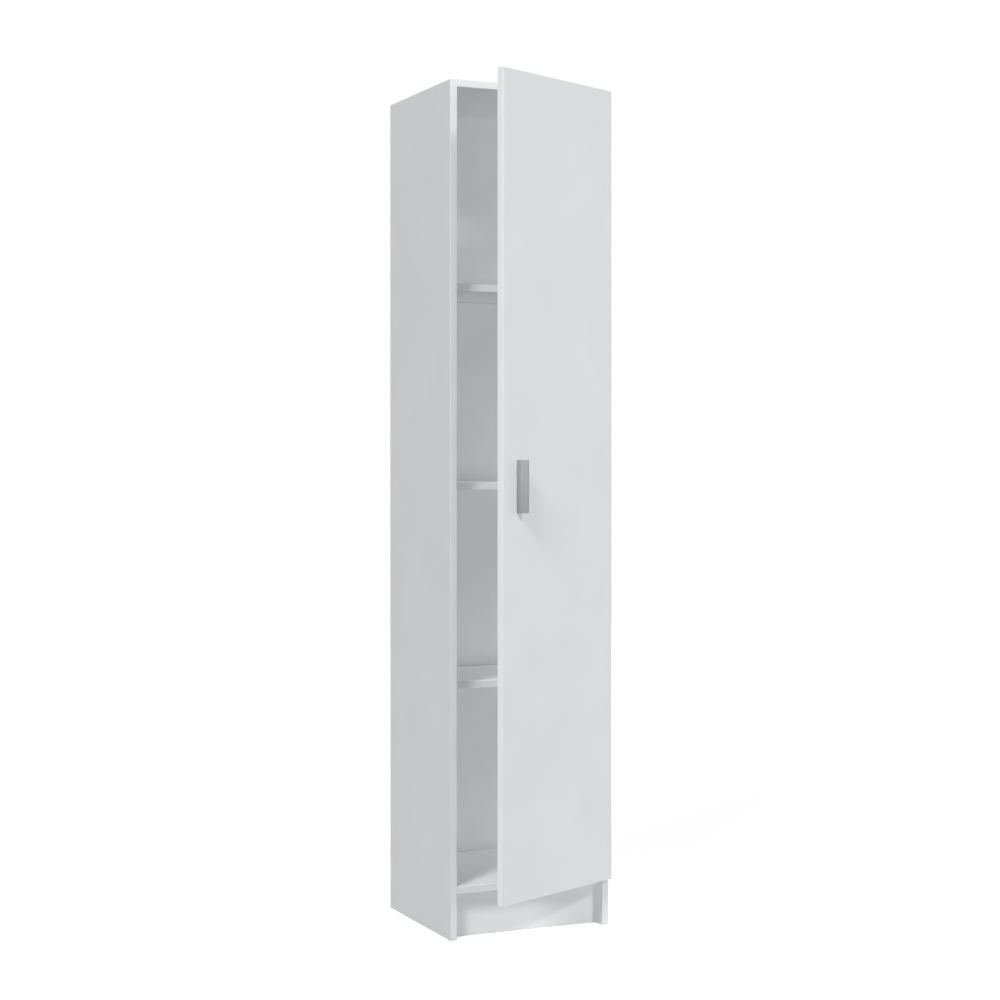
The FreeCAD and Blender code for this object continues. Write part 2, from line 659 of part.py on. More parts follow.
shelf_bands = []
for shelf, under in shelf_unders.items():
    fixed = shelf == "middle_shelf"
    side_gap = "0" if fixed else "shelf_side_gap"
    back_gap = "0" if fixed else "shelf_back_gap"
    low_x = f"-{inside} + {side_gap}"
    length = f"{rail_length} - 2 * {side_gap}"
    blank = box(f"{shelf}_blank", (low_x, f"{shelf_front} + band_thickness", under),
                (length, f"{rear} - {back_gap} - {shelf_front} - band_thickness", "board_thickness"))
    piece(shelf, cut(f"{shelf}_drilled", blank, holes[shelf]) if fixed else blank)
    shelf_bands.append(box("shelf_band", (low_x, shelf_front, under),
                           (length, "band_thickness", "board_thickness")))
piece("shelf_edge_bands", group("shelf_band_set", shelf_bands))

plinth_blank = box("plinth_blank", (f"-{inside}", plinth_front, "0"),
                   (rail_length, "board_thickness", "plinth_height"))
piece("plinth_board", cut("plinth_drilled", plinth_blank, holes["plinth_board"]))
back_blank = box("back_blank", (f"-{half_width} + back_inset", rear, back_low),
                 ("cabinet_width - 2 * back_inset", "back_thickness", back_height))
piece("back_panel", cut("back_drilled", back_blank, holes["back_panel"]))

piece("cam_locks", group("cam_lock_set", cams))
piece("cam_bolts", group("cam_bolt_set", bolts))
piece("cam_caps", group("cam_cap_set", caps))
piece("wooden_dowels", group("dowel_set", dowels))
piece("shelf_supports", group("support_set", supports))
piece("back_nails", group("nail_set", nails))

doc.recompute()

failed = [obj.Label for obj in doc.Objects if "Invalid" in obj.State or "Error" in obj.State]
if failed:
    raise RuntimeError(f"objects that failed: {failed}")
for obj in pieces:
    if obj.Shape.isNull() or not obj.Shape.isValid() or not obj.Shape.Solids:
        raise RuntimeError(f"{obj.Label} has no valid solid")

os.makedirs("parts", exist_ok=True)
for obj in pieces:
    obj.Shape.exportStep(os.path.join("parts", f"{obj.Label}.step"))
    bounds = obj.Shape.BoundBox
    print(f"{obj.Label}: {len(obj.Shape.Solids)} solids, {obj.Shape.Volume:.1f} mm3,"
          f" {bounds.XLength:.1f} x {bounds.YLength:.1f} x {bounds.ZLength:.1f}")
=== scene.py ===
import json
import math

import bmesh
import bpy
from mathutils import Matrix, Vector


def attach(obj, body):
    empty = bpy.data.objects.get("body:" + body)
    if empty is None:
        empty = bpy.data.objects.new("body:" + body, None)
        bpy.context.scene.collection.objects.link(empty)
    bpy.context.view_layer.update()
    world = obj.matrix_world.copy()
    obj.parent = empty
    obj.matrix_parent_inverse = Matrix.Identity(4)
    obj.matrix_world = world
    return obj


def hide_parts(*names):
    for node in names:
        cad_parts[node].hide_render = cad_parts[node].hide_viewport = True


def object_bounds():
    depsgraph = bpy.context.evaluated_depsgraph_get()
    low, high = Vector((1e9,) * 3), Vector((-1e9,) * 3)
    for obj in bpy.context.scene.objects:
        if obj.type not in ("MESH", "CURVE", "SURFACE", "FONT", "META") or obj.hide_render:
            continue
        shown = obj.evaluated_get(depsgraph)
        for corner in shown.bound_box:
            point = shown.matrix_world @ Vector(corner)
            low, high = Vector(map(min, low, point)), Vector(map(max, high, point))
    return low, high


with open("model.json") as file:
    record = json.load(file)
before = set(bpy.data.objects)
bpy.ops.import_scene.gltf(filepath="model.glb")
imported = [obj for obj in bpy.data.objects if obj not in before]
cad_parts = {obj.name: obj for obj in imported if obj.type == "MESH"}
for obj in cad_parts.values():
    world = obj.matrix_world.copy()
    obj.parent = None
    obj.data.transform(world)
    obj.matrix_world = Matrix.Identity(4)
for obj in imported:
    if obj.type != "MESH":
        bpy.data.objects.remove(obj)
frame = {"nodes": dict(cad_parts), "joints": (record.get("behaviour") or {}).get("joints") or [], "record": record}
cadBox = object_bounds()

# A tall white board cupboard with its door ajar. Metres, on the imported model's own frame.
mm = 0.001
weld = 0.001 * mm  # closer points of a copied mesh are one point
scene = bpy.context.scene
record = frame["record"]
nodeBody = {node: body for body, nodes in record["behaviour"]["bodies"].items() for node in nodes}

# Door pieces are modelled shut, square to the carcass, and then turned open as the frame has them.
swing = frame["joints"][0]
hingeAxis = Matrix.Translation(Vector(swing["pos_m"]))
shutDoor = hingeAxis @ Matrix.Rotation(math.radians(swing["range_deg"][0]), 4, "Z") @ hingeAxis.inverted()
openDoor = shutDoor.inverted()
print("frame loaded:", len(frame["nodes"]), "nodes")


# Materials

def hexColor(code):
    channels = [int(code[i:i + 2], 16) / 255 for i in (1, 3, 5)]
    linear = [c / 12.92 if c <= 0.04045 else ((c + 0.055) / 1.055) ** 2.4 for c in channels]
    return (*linear, 1)


def addNode(tree, kind, settings=None, links=None):
    # Lower-case names are the node's own settings, the others and the numbers are its sockets.
    node = tree.nodes.new(kind)
    for name, value in (settings or {}).items():
        if isinstance(name, str) and name.islower():
            setattr(node, name, value)
        else:
            node.inputs[name].default_value = value
    for name, socket in (links or {}).items():
        tree.links.new(socket, node.inputs[name])
    return node


def startMaterial(name, settings):
    # A named material with its shader, and the piece's own coordinates to hang patterns on.
    material = bpy.data.materials.new(name)
    material.use_nodes = True
    tree = material.node_tree
    tree.nodes.clear()
    shader = addNode(tree, "ShaderNodeBsdfPrincipled", settings)
    addNode(tree, "ShaderNodeOutputMaterial", {}, {"Surface": shader.outputs[0]})
    place = addNode(tree, "ShaderNodeTexCoord").outputs["Object"]
    return material, tree, shader, place


def perMetre(millimetres):
    return 1 / (millimetres * mm)


noiseSpan = {"From Min": 0.3, "From Max": 0.7}  # nearly all of a noise lies between these
octaves = {"clouds": 2.0, "sheen": 3.0, "peel": 1.0, "fibre": 6.0, "tarnish": 3.0, "grain": 2.0, "fleck": 4.0,
           "spark": 2.0}


def mottle(tree, place, size, detail, low, high):
    # Soft random patches of a size in millimetres, as values from low to high.
    noise = addNode(tree, "ShaderNodeTexNoise", {"Scale": perMetre(size), "Detail": detail},
                    {"Vector": place})
    values = addNode(tree, "ShaderNodeMapRange", {**noiseSpan, "To Min": low, "To Max": high},
                     {"Value": noise.outputs[0]})
    return values.outputs["Result"]


def darkToLight(look):
    # Settings of a Mix node that runs between a look's two colours, which are its sockets 6 and 7.
    return {"data_type": "RGBA", 6: hexColor(look["dark"]), 7: hexColor(look["light"])}


def whiteFace(name, look):
    # Pressed decor paper and resin: an even white, faint clouds, a satin skin with a fine orange peel.
    material, tree, shader, place = startMaterial(name, {"IOR": look["ior"]})
    clouds = mottle(tree, place, look["cloudSize"], octaves["clouds"], 0, 1)
    color = addNode(tree, "ShaderNodeMix", darkToLight(look), {0: clouds})
    sheen = mottle(tree, place, look["sheenSize"], octaves["sheen"], *look["roughness"])
    peel = addNode(tree, "ShaderNodeTexNoise",
                   {"Scale": perMetre(look["peelSize"]), "Detail": octaves["peel"]}, {"Vector": place})
    bump = addNode(tree, "ShaderNodeBump",
                   {"Strength": look["peelStrength"], "Distance": look["peelDepth"] * mm},
                   {"Height": peel.outputs[0]})
    tree.links.new(color.outputs[2], shader.inputs["Base Color"])
    tree.links.new(sheen, shader.inputs["Roughness"])
    tree.links.new(bump.outputs[0], shader.inputs["Normal"])
    return material


# The real peel is under 1 mm across, so it is drawn at a few millimetres to show in a close view.
melamineLook = {"ior": 1.5, "dark": "#E6E7E9", "light": "#E9EAEC", "cloudSize": 160, "sheenSize": 22,
                "roughness": (0.62, 0.68), "peelSize": 3.5, "peelStrength": 0.25, "peelDepth": 0.06}
edgingLook = {"ior": 1.5, "dark": "#E8E9EB", "light": "#EBECEE", "cloudSize": 90, "sheenSize": 14,
              "roughness": (0.55, 0.65), "peelSize": 2.5, "peelStrength": 0.2, "peelDepth": 0.04}
foilLook = {"ior": 1.5, "dark": "#E3E3E4", "light": "#E7E7E8", "cloudSize": 120, "sheenSize": 18,
            "roughness": (0.6, 0.7), "peelSize": 4.5, "peelStrength": 0.3, "peelDepth": 0.08}
melamine = whiteFace("melamineFacedBoard", melamineLook)
edging = whiteFace("absEdging", edgingLook)
whiteFoil = whiteFace("whiteFoilOnHardboard", foilLook)


def chipboardCore(look):
    # Pressed wood chips: a mosaic of tan flakes, rough and open where the saw cut it.
    material, tree, shader, place = startMaterial("chipboardCore", {"Roughness": look["roughness"]})
    chips = addNode(tree, "ShaderNodeTexVoronoi", {"Scale": perMetre(look["chipSize"])}, {"Vector": place})
    shade = addNode(tree, "ShaderNodeSeparateColor", {}, {"Color": chips.outputs["Color"]})
    color = addNode(tree, "ShaderNodeMix", darkToLight(look), {0: shade.outputs[0]})
    bump = addNode(tree, "ShaderNodeBump", {"Strength": look["strength"], "Distance": look["depth"] * mm},
                   {"Height": chips.outputs["Distance"]})
    tree.links.new(color.outputs[2], shader.inputs["Base Color"])
    tree.links.new(bump.outputs[0], shader.inputs["Normal"])
    return material


coreLook = {"chipSize": 2.2, "dark": "#A98457", "light": "#D9BE92", "roughness": 0.85, "strength": 0.6,
            "depth": 0.3}
chipboard = chipboardCore(coreLook)


def hardboardRear(look):
    # Wet-pressed fibre: a mottled brown sheet with the print of the wire mesh that it was pressed on.
    material, tree, shader, place = startMaterial("hardboardRear", {"Roughness": look["roughness"]})
    fibre = mottle(tree, place, look["fibreSize"], octaves["fibre"], 0, 1)
    color = addNode(tree, "ShaderNodeMix", darkToLight(look), {0: fibre})
    bands = {"Scale": perMetre(look["meshPitch"]) / look["waveRate"], "Distortion": look["meshWobble"]}
    across = addNode(tree, "ShaderNodeTexWave", {"bands_direction": "X", **bands}, {"Vector": place})
    upright = addNode(tree, "ShaderNodeTexWave", {"bands_direction": "Z", **bands}, {"Vector": place})
    weave = addNode(tree, "ShaderNodeMath", {"operation": "MULTIPLY"},
                    {0: across.outputs["Fac"], 1: upright.outputs["Fac"]})
    bump = addNode(tree, "ShaderNodeBump",
                   {"Strength": look["meshStrength"], "Distance": look["meshDepth"] * mm},
                   {"Height": weave.outputs[0]})
    tree.links.new(color.outputs[2], shader.inputs["Base Color"])
    tree.links.new(bump.outputs[0], shader.inputs["Normal"])
    return material


# A mesh print is about 1.5 mm, drawn coarser so that it shows. The wave node draws 20 bands in 2 pi units.
hardboardLook = {"fibreSize": 9, "dark": "#6E4A2E", "light": "#8A6242", "roughness": 0.8, "meshPitch": 5,
                 "meshWobble": 0.4, "meshStrength": 0.5, "meshDepth": 0.25, "waveRate": 20 / math.tau}
hardboard = hardboardRear(hardboardLook)


def metalSkin(name, look):
    # A plated, cast or anodised skin: one metal colour, its gloss broken by a fine grain.
    material, tree, shader, place = startMaterial(name, {"Metallic": 1.0})
    drawn = addNode(tree, "ShaderNodeMapping", {"Scale": look["stretch"]}, {"Vector": place}).outputs[0]
    tarnish = mottle(tree, drawn, look["cloudSize"], octaves["tarnish"], 0, 1)
    color = addNode(tree, "ShaderNodeMix", darkToLight(look), {0: tarnish})
    gloss = mottle(tree, drawn, look["grainSize"], octaves["grain"], *look["roughness"])
    grain = addNode(tree, "ShaderNodeTexNoise",
                    {"Scale": perMetre(look["grainSize"]), "Detail": octaves["grain"]}, {"Vector": drawn})
    bump = addNode(tree, "ShaderNodeBump",
                   {"Strength": look["grainStrength"], "Distance": look["grainDepth"] * mm},
                   {"Height": grain.outputs[0]})
    tree.links.new(color.outputs[2], shader.inputs["Base Color"])
    tree.links.new(gloss, shader.inputs["Roughness"])
    tree.links.new(bump.outputs[0], shader.inputs["Normal"])
    return material


even = (1, 1, 1)
alongHeight = (1, 1, 0.04)  # drawn lines run up the piece
# Anodised: satin grey with fine draw lines along its length, coarser than the real 0.1 mm so that they show.
anodisedLook = {"stretch": alongHeight, "cloudSize": 6, "dark": "#898A8B", "light": "#929394",
                "grainSize": 0.8, "roughness": (0.66, 0.76), "grainStrength": 0.2, "grainDepth": 0.03}
# Nickel on a casting: warm bright satin. Zinc plate: cooler, slightly cloudy. Both grains are drawn coarse.
nickelLook = {"stretch": even, "cloudSize": 8, "dark": "#BDB8AE", "light": "#CBC7BE", "grainSize": 0.7,
              "roughness": (0.22, 0.32), "grainStrength": 0.15, "grainDepth": 0.03}
zincPlateLook = {"stretch": even, "cloudSize": 3, "dark": "#AEB3B8", "light": "#C3C7CA", "grainSize": 0.6,
                 "roughness": (0.28, 0.42), "grainStrength": 0.2, "grainDepth": 0.03}
# Raw cast zinc: dull and pitted. Galvanised sheet: pale, cloudy. Bright steel: even and smooth.
castZincLook = {"stretch": even, "cloudSize": 4, "dark": "#8E9092", "light": "#A9ABAC", "grainSize": 0.9,
                "roughness": (0.42, 0.6), "grainStrength": 0.4, "grainDepth": 0.08}
galvanisedLook = {"stretch": even, "cloudSize": 5, "dark": "#A6ABB0", "light": "#C2C6CA", "grainSize": 1.2,
                  "roughness": (0.3, 0.48), "grainStrength": 0.15, "grainDepth": 0.04}
steelLook = {"stretch": even, "cloudSize": 4, "dark": "#A3A3A1", "light": "#B5B5B2", "grainSize": 0.6,
             "roughness": (0.26, 0.38), "grainStrength": 0.15, "grainDepth": 0.02}
anodised = metalSkin("anodisedAluminium", anodisedLook)
nickel = metalSkin("nickelPlatedSteel", nickelLook)
zincPlate = metalSkin("zincPlatedSteel", zincPlateLook)
castZinc = metalSkin("dieCastZinc", castZincLook)
galvanised = metalSkin("galvanisedSheet", galvanisedLook)
brightSteel = metalSkin("brightSteel", steelLook)


def beechWood(look):
    # Turned beech: pale pinkish tan with short darker flecks along the grain.
    material, tree, shader, place = startMaterial("beech", {"Roughness": look["roughness"]})
    drawn = addNode(tree, "ShaderNodeMapping", {"Scale": look["stretch"]}, {"Vector": place}).outputs[0]
    flecks = mottle(tree, drawn, look["fleckSize"], octaves["fleck"], 0, 1)
    color = addNode(tree, "ShaderNodeMix", darkToLight(look), {0: flecks})
    grain = addNode(tree, "ShaderNodeTexNoise",
                    {"Scale": perMetre(look["fleckSize"]), "Detail": octaves["fleck"]}, {"Vector": drawn})
    bump = addNode(tree, "ShaderNodeBump", {"Strength": look["strength"], "Distance": look["depth"] * mm},
                   {"Height": grain.outputs[0]})
    tree.links.new(color.outputs[2], shader.inputs["Base Color"])
    tree.links.new(bump.outputs[0], shader.inputs["Normal"])
    return material


beechLook = {"stretch": (0.15, 1, 1), "fleckSize": 0.9, "dark": "#B98A5A", "light": "#D6B184",
             "roughness": 0.6, "strength": 0.3, "depth": 0.1}
beech = beechWood(beechLook)


def mouldedPlastic(name, look):
    # Injection-moulded: an even colour under a fine spark-eroded texture.
    settings = {"Base Color": hexColor(look["color"]), "IOR": look["ior"],
                "Transmission Weight": look["clear"]}
    material, tree, shader, place = startMaterial(name, settings)
    gloss = mottle(tree, place, look["sparkSize"], octaves["spark"], *look["roughness"])
    spark = addNode(tree, "ShaderNodeTexNoise",
                    {"Scale": perMetre(look["sparkSize"]), "Detail": octaves["spark"]}, {"Vector": place})
    bump = addNode(tree, "ShaderNodeBump",
                   {"Strength": look["sparkStrength"], "Distance": look["sparkDepth"] * mm},
                   {"Height": spark.outputs[0]})
    tree.links.new(gloss, shader.inputs["Roughness"])
    tree.links.new(bump.outputs[0], shader.inputs["Normal"])
    return material


polystyreneLook = {"color": "#E4E4E2", "ior": 1.55, "clear": 0.0, "sparkSize": 0.8, "sparkStrength": 0.3,
                   "sparkDepth": 0.03, "roughness": (0.38, 0.5)}
polyurethaneLook = {"color": "#DFE4E6", "ior": 1.5, "clear": 0.55, "sparkSize": 0.8, "sparkStrength": 0.3,
                    "sparkDepth": 0.02, "roughness": (0.25, 0.4)}
whitePlastic = mouldedPlastic("mouldedPolystyrene", polystyreneLook)
softPad = mouldedPlastic("softPolyurethane", polyurethaneLook)
print("materials made:", len(bpy.data.materials))


# Shared ways of making a piece

flatTurn = math.radians(0.5)  # faces that turn less than this are one face
roundTurn = math.radians(40)  # faces that turn less than this are one round wall


def mergedCopy(node, turn=Matrix()):
    # A node's loose triangles as one welded mesh of flat faces.
    bm = bmesh.new()
    bm.from_mesh(frame["nodes"][node].data)
    bm.transform(turn)
    bmesh.ops.remove_doubles(bm, verts=bm.verts, dist=weld)
    bmesh.ops.dissolve_limit(bm, angle_limit=flatTurn, verts=bm.verts, edges=bm.edges)
    for edge in bm.edges:
        if edge.is_manifold and flatTurn < edge.calc_face_angle() < roundTurn:
            for face in edge.link_faces:
                face.smooth = True
    return bm


def corners(points):
    return Vector(map(min, zip(*points))), Vector(map(max, zip(*points)))


def shutBox(node):
    # Lowest and highest corner of a door node while the door is shut.
    return corners([shutDoor @ vert.co for vert in frame["nodes"][node].data.vertices])


def solidBoxes(node, turn=Matrix()):
    # Lowest and highest corner of each separate solid of a node.
    bm = mergedCopy(node, turn)
    waiting = set(bm.verts)
    boxes = []
    while waiting:
        reached = [waiting.pop()]
        points = []
        while reached:
            vert = reached.pop()
            points.append(vert.co.copy())
            near = {edge.other_vert(vert) for edge in vert.link_edges} & waiting
            waiting -= near
            reached += near
        boxes.append(corners(points))
    bm.free()
    return sorted(boxes, key=lambda box: tuple(box[0]))


def roundOver(bm, edges, width, segments):
    made = bmesh.ops.bevel(bm, geom=edges, offset=width, offset_type="OFFSET", affect="EDGES",
                           segments=segments, profile=0.5, material=-1, clamp_overlap=False)
    for face in made["faces"]:
        face.smooth = True


def addBox(bm, low, high):
    verts = bmesh.ops.create_cube(bm, size=1)["verts"]
    bmesh.ops.scale(bm, verts=verts, vec=high - low)
    bmesh.ops.translate(bm, verts=verts, vec=(low + high) / 2)
    return verts


def spinProfile(bm, points, steps):
    # Turns a profile of radius and height about the upright axis, with its poles closed.
    verts = [bm.verts.new((radius, 0, height)) for radius, height in points]
    edges = [bm.edges.new(pair) for pair in zip(verts, verts[1:])]
    bmesh.ops.spin(bm, geom=verts + edges, cent=(0, 0, 0), axis=(0, 0, 1), angle=math.tau, steps=steps,
                   use_merge=True)
    bmesh.ops.remove_doubles(bm, verts=bm.verts, dist=weld)
    bmesh.ops.recalc_face_normals(bm, faces=bm.faces)


def vertsOf(made):
    return [item for item in made if isinstance(item, bmesh.types.BMVert)]


def arcOn(bm, vert, centre, degrees, steps):
    # Draws an arc on from a vertex, level about a centre, and gives its last vertex.
    made = bmesh.ops.spin(bm, geom=[vert], cent=centre, axis=(0, 0, 1), angle=math.radians(degrees),
                          steps=steps)
    return vertsOf(made["geom_last"])[0]


def lineOn(bm, vert, offset):
    # Draws a straight line on from a vertex, and gives its end.
    end = bmesh.ops.extrude_vert_indiv(bm, verts=[vert])["verts"][0]
    bmesh.ops.translate(bm, verts=[end], vec=offset)
    return end


def faceToward(bm, direction):
    # The face that lies furthest that way.
    return max(bm.faces, key=lambda face: face.calc_center_median().dot(Vector(direction)))


def shadeSmooth(bm, limit):
    # Smooth all over but for the edges that turn more sharply than the limit.
    for face in bm.faces:
        face.smooth = True
    for edge in bm.edges:
        edge.smooth = edge.is_manifold and edge.calc_face_angle() < math.radians(limit)


def scatter(shape, places):
    # One mesh with a copy of the shape at each place. The shape is used up.
    pattern = bpy.data.meshes.new("pattern")
    shape.to_mesh(pattern)
    shape.free()
    bm = bmesh.new()
    for place in places:
        count = len(bm.verts)
        bm.from_mesh(pattern)
        bm.verts.ensure_lookup_table()
        bmesh.ops.transform(bm, matrix=place, verts=bm.verts[count:])
    bpy.data.meshes.remove(pattern)
    return bm


def standing(point, direction):
    # Where an upright shape's foot goes, and which way its axis points.
    return Matrix.Translation(point) @ Vector(direction).to_track_quat("Z", "Y").to_matrix().to_4x4()


def camelName(node):
    words = node.split("_")
    return words[0] + "".join(word.title() for word in words[1:])


def newPiece(name, bm, finishes, node):
    # The finished mesh as an object that stands for a node and moves with its body.
    mesh = bpy.data.meshes.new(name)
    bm.to_mesh(mesh)
    bm.free()
    for finish in finishes:
        mesh.materials.append(finish)
    piece = bpy.data.objects.new(name, mesh)
    scene.collection.objects.link(piece)
    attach(piece, nodeBody[node])
    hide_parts(node)
    return piece


# Boards: white faces, and bare chipboard where the saw and the drill went through

boards = {
    # thin: the axis through the board. white: cut ends that are foiled. soft: faces with a softened rim.
    "left_side_panel": {"thin": 0, "white": ("+Z",), "soft": ("-X", "+Z", "-Z")},
    "right_side_panel": {"thin": 0, "white": ("+Z",), "soft": ("+X", "+Z", "-Z")},
    "top_panel": {"thin": 2, "white": (), "soft": ()},
    "bottom_panel": {"thin": 2, "white": (), "soft": ()},
    "plinth_board": {"thin": 1, "white": (), "soft": ("-Y", "-Z")},
    "lower_shelf": {"thin": 2, "white": (), "soft": ()},
    "middle_shelf": {"thin": 2, "white": (), "soft": ()},
    "upper_shelf": {"thin": 2, "white": (), "soft": ()},
    "door_panel": {"thin": 1, "white": (), "soft": ()},
    "back_panel": {"thin": 1, "white": (), "soft": ()},
}
# slack: how far from the box's side a face may lie. square: the least share of its normal along an axis.
boardRim = {"width": 0.5, "segments": 2, "slack": 0.05, "square": 0.99}


def outerSide(face, low, high):
    # Which side of the board's box a face lies on, such as +X, or nothing for the wall of a hole.
    middle = face.calc_center_median()
    for axis, letter in enumerate("XYZ"):
        if abs(face.normal[axis]) > boardRim["square"]:
            sign = "+" if face.normal[axis] > 0 else "-"
            limit = high[axis] if sign == "+" else low[axis]
            if abs(middle[axis] - limit) < boardRim["slack"] * mm:
                return sign + letter
    return None


def makeBoard(node, board):
    onDoor = nodeBody[node] == "door"
    bm = mergedCopy(node, shutDoor if onDoor else Matrix())
    low, high = corners([vert.co for vert in bm.verts])
    faceSides = ["-" + "XYZ"[board["thin"]], "+" + "XYZ"[board["thin"]]]
    finishes = [melamine, chipboard]
    if node == "back_panel":
        finishes = [whiteFoil, hardboard]
        faceSides.remove("+Y")  # the rear shows bare fibre
    rim = []
    for face in bm.faces:
        side = outerSide(face, low, high)
        face.material_index = 0 if side in faceSides or side in board["white"] else 1
    for edge in bm.edges:
        sides = [outerSide(face, low, high) for face in edge.link_faces]
        if all(side in board["soft"] for side in sides) and len(set(sides)) == 2:
            rim.append(edge)
    if rim:
        roundOver(bm, rim, boardRim["width"] * mm, boardRim["segments"])
    if onDoor:
        bm.transform(openDoor)
    newPiece(camelName(node), bm, finishes, node)


for node, board in boards.items():
    makeBoard(node, board)
print("boards made:", len(boards))


# Edging: a thin strip on each front, with the long arrises scraped round

band = {"radius": 0.7, "segments": 3}


def addBand(bm, low, high, outward, ends):
    verts = addBox(bm, low, high)
    outward = Vector(outward)
    reach = max(vert.co.dot(outward) for vert in verts)
    length = max(range(3), key=lambda axis: high[axis] - low[axis])
    rim = []
    for edge in {edge for vert in verts for edge in vert.link_edges}:
        outer = all(abs(vert.co.dot(outward) - reach) < weld for vert in edge.verts)
        along = abs(edge.verts[0].co[length] - edge.verts[1].co[length]) > weld
        if outer and (along or ends):
            rim.append(edge)
    roundOver(bm, rim, band["radius"] * mm, band["segments"])


frontBands = {"side_edge_bands": True, "rail_edge_bands": False, "shelf_edge_bands": False}  # ends eased too
for node, ends in frontBands.items():
    bm = bmesh.new()
    for low, high in solidBoxes(node):
        addBand(bm, low, high, (0, -1, 0), ends)
    newPiece(camelName(node), bm, [edging], node)


def makeDoorBands():
    # The two upright strips run the door's whole height, and the foot and head strips lie between them.
    low, high = shutBox("door_edge_bands")
    coreLow, coreHigh = shutBox("door_panel")
    bm = bmesh.new()
    addBand(bm, low, Vector((coreLow.x, high.y, high.z)), (-1, 0, 0), True)
    addBand(bm, Vector((coreHigh.x, low.y, low.z)), high, (1, 0, 0), True)
    footHigh = Vector((coreHigh.x, high.y, coreLow.z))
    headLow = Vector((coreLow.x, low.y, coreHigh.z))
    addBand(bm, Vector((coreLow.x, low.y, low.z)), footHigh, (0, 0, -1), False)
    addBand(bm, headLow, Vector((coreHigh.x, high.y, high.z)), (0, 0, 1), False)
    bm.transform(openDoor)
    newPiece("doorEdgeBands", bm, [edging], "door_edge_bands")


makeDoorBands()
print("edge bands made")


# Handle: one drawn wing section with a beaded tip, cut to length and its ends eased

pull = {"tipReach": 11, "standOut": 22, "wall": 2.6, "beadRadius": 1.9, "baseWidth": 12, "baseThickness": 4,
        "fillet": 3, "endEase": 0.5, "endSegments": 2, "wingSteps": 16, "beadSteps": 14, "filletSteps": 6,
        "smooth": 35}


def makeHandle(size):
    low, high = shutBox("handle")
    # The wing is an arc about a centre on the door's face. Lengths are in millimetres, angles in degrees.
    radius = (size["tipReach"] ** 2 + size["standOut"] ** 2) / (2 * size["tipReach"])
    inner = radius - size["wall"]
    middle = radius - size["wall"] / 2
    centre = Vector((low.x + radius * mm, high.y, low.z))
    foot = 180  # the wing starts level with its centre
    onBase = 90  # the fillet ends on the base's face
    tip = foot + math.degrees(math.asin(size["standOut"] / radius))

    def around(angle, reach):
        return Vector((math.cos(math.radians(angle)), math.sin(math.radians(angle)), 0)) * reach

    def heading(offset):
        return math.degrees(math.atan2(offset.y, offset.x)) % 360

    def beforeTip(arc):
        # Where the bead's circle crosses an arc about the wing's centre.
        reach = (arc ** 2 + middle ** 2 - size["beadRadius"] ** 2) / (2 * arc * middle)
        return tip - math.degrees(math.acos(reach))

    bead = around(tip, middle)
    outerEnd = beforeTip(radius)
    innerEnd = beforeTip(inner)
    beadStart = heading(around(outerEnd, radius) - bead)
    beadTurn = (heading(around(innerEnd, inner) - bead) - beadStart) % 360
    filletY = -size["baseThickness"] - size["fillet"]
    fillet = Vector((-math.sqrt((inner - size["fillet"]) ** 2 - filletY ** 2), filletY, 0))
    filletStart = heading(fillet)

    bm = bmesh.new()
    first = bm.verts.new(centre + around(foot, radius) * mm)
    last = arcOn(bm, first, centre, outerEnd - foot, size["wingSteps"])
    last = arcOn(bm, last, centre + bead * mm, beadTurn, size["beadSteps"])
    last = arcOn(bm, last, centre, filletStart - innerEnd, size["wingSteps"])
    last = arcOn(bm, last, centre + fillet * mm, onBase - filletStart, size["filletSteps"])
    last = lineOn(bm, last, (first.co.x + size["baseWidth"] * mm - last.co.x, 0, 0))
    last = lineOn(bm, last, (0, high.y - last.co.y, 0))
    bm.edges.new((last, first))
    section = bmesh.ops.edgeloop_fill(bm, edges=bm.edges)["faces"]
    lifted = bmesh.ops.extrude_face_region(bm, geom=section)["geom"]
    bmesh.ops.translate(bm, verts=vertsOf(lifted), vec=(0, 0, high.z - low.z))
    bmesh.ops.recalc_face_normals(bm, faces=bm.faces)
    ends = (faceToward(bm, (0, 0, 1)), faceToward(bm, (0, 0, -1)))
    roundOver(bm, [edge for face in ends for edge in face.edges], size["endEase"] * mm, size["endSegments"])
    shadeSmooth(bm, size["smooth"])
    bm.transform(openDoor)
    newPiece("wingPull", bm, [anodised], "handle")


makeHandle(pull)
print("handle made")


# Hinges and bracket: the frame's own castings with their long edges eased

castings = {"width": 0.5, "segments": 2, "leastLength": 12, "leastTurn": 60}


def easeCasting(node, finish):
    bm = mergedCopy(node)
    edges = [edge for edge in bm.edges if edge.calc_face_angle() > math.radians(castings["leastTurn"])
             and edge.calc_length() > castings["leastLength"] * mm]
    roundOver(bm, edges, castings["width"] * mm, castings["segments"])
    newPiece(camelName(node), bm, [finish], node)


for height in ("lower", "middle", "upper"):
    for kind in ("arm", "plate", "cup"):
        easeCasting(f"{height}_hinge_{kind}", nickel)
easeCasting("wall_bracket", galvanised)
print("hinges made")


# Screws: a domed head with a cross recess, and a plain shank with a point

screws = {
    "hinge_plate_screws": {"shank": 2.5, "headHeight": 2, "toward": (-1, 0, 0)},
    "hinge_arm_screws": {"shank": 2, "headHeight": 2.2, "toward": (-1, 0, 0)},
    "hinge_cup_screws": {"shank": 1.75, "headHeight": 1.2, "toward": (0, 1, 0)},
    "handle_screws": {"shank": 2, "headHeight": 2, "toward": (0, 1, 0)},
    "wall_bracket_screws": {"shank": 1.75, "headHeight": 1.8, "toward": (0, 0, -1)},
}
screwHead = {"flatShare": 0.62, "shoulderShares": (0.84, 0.86), "browShares": (0.97, 0.5), "rimShare": 0.15,
             "reachShare": 0.5, "armShare": 0.13, "depthShare": 0.65, "taperShare": 0.04, "steps": 24,
             "smooth": 40}


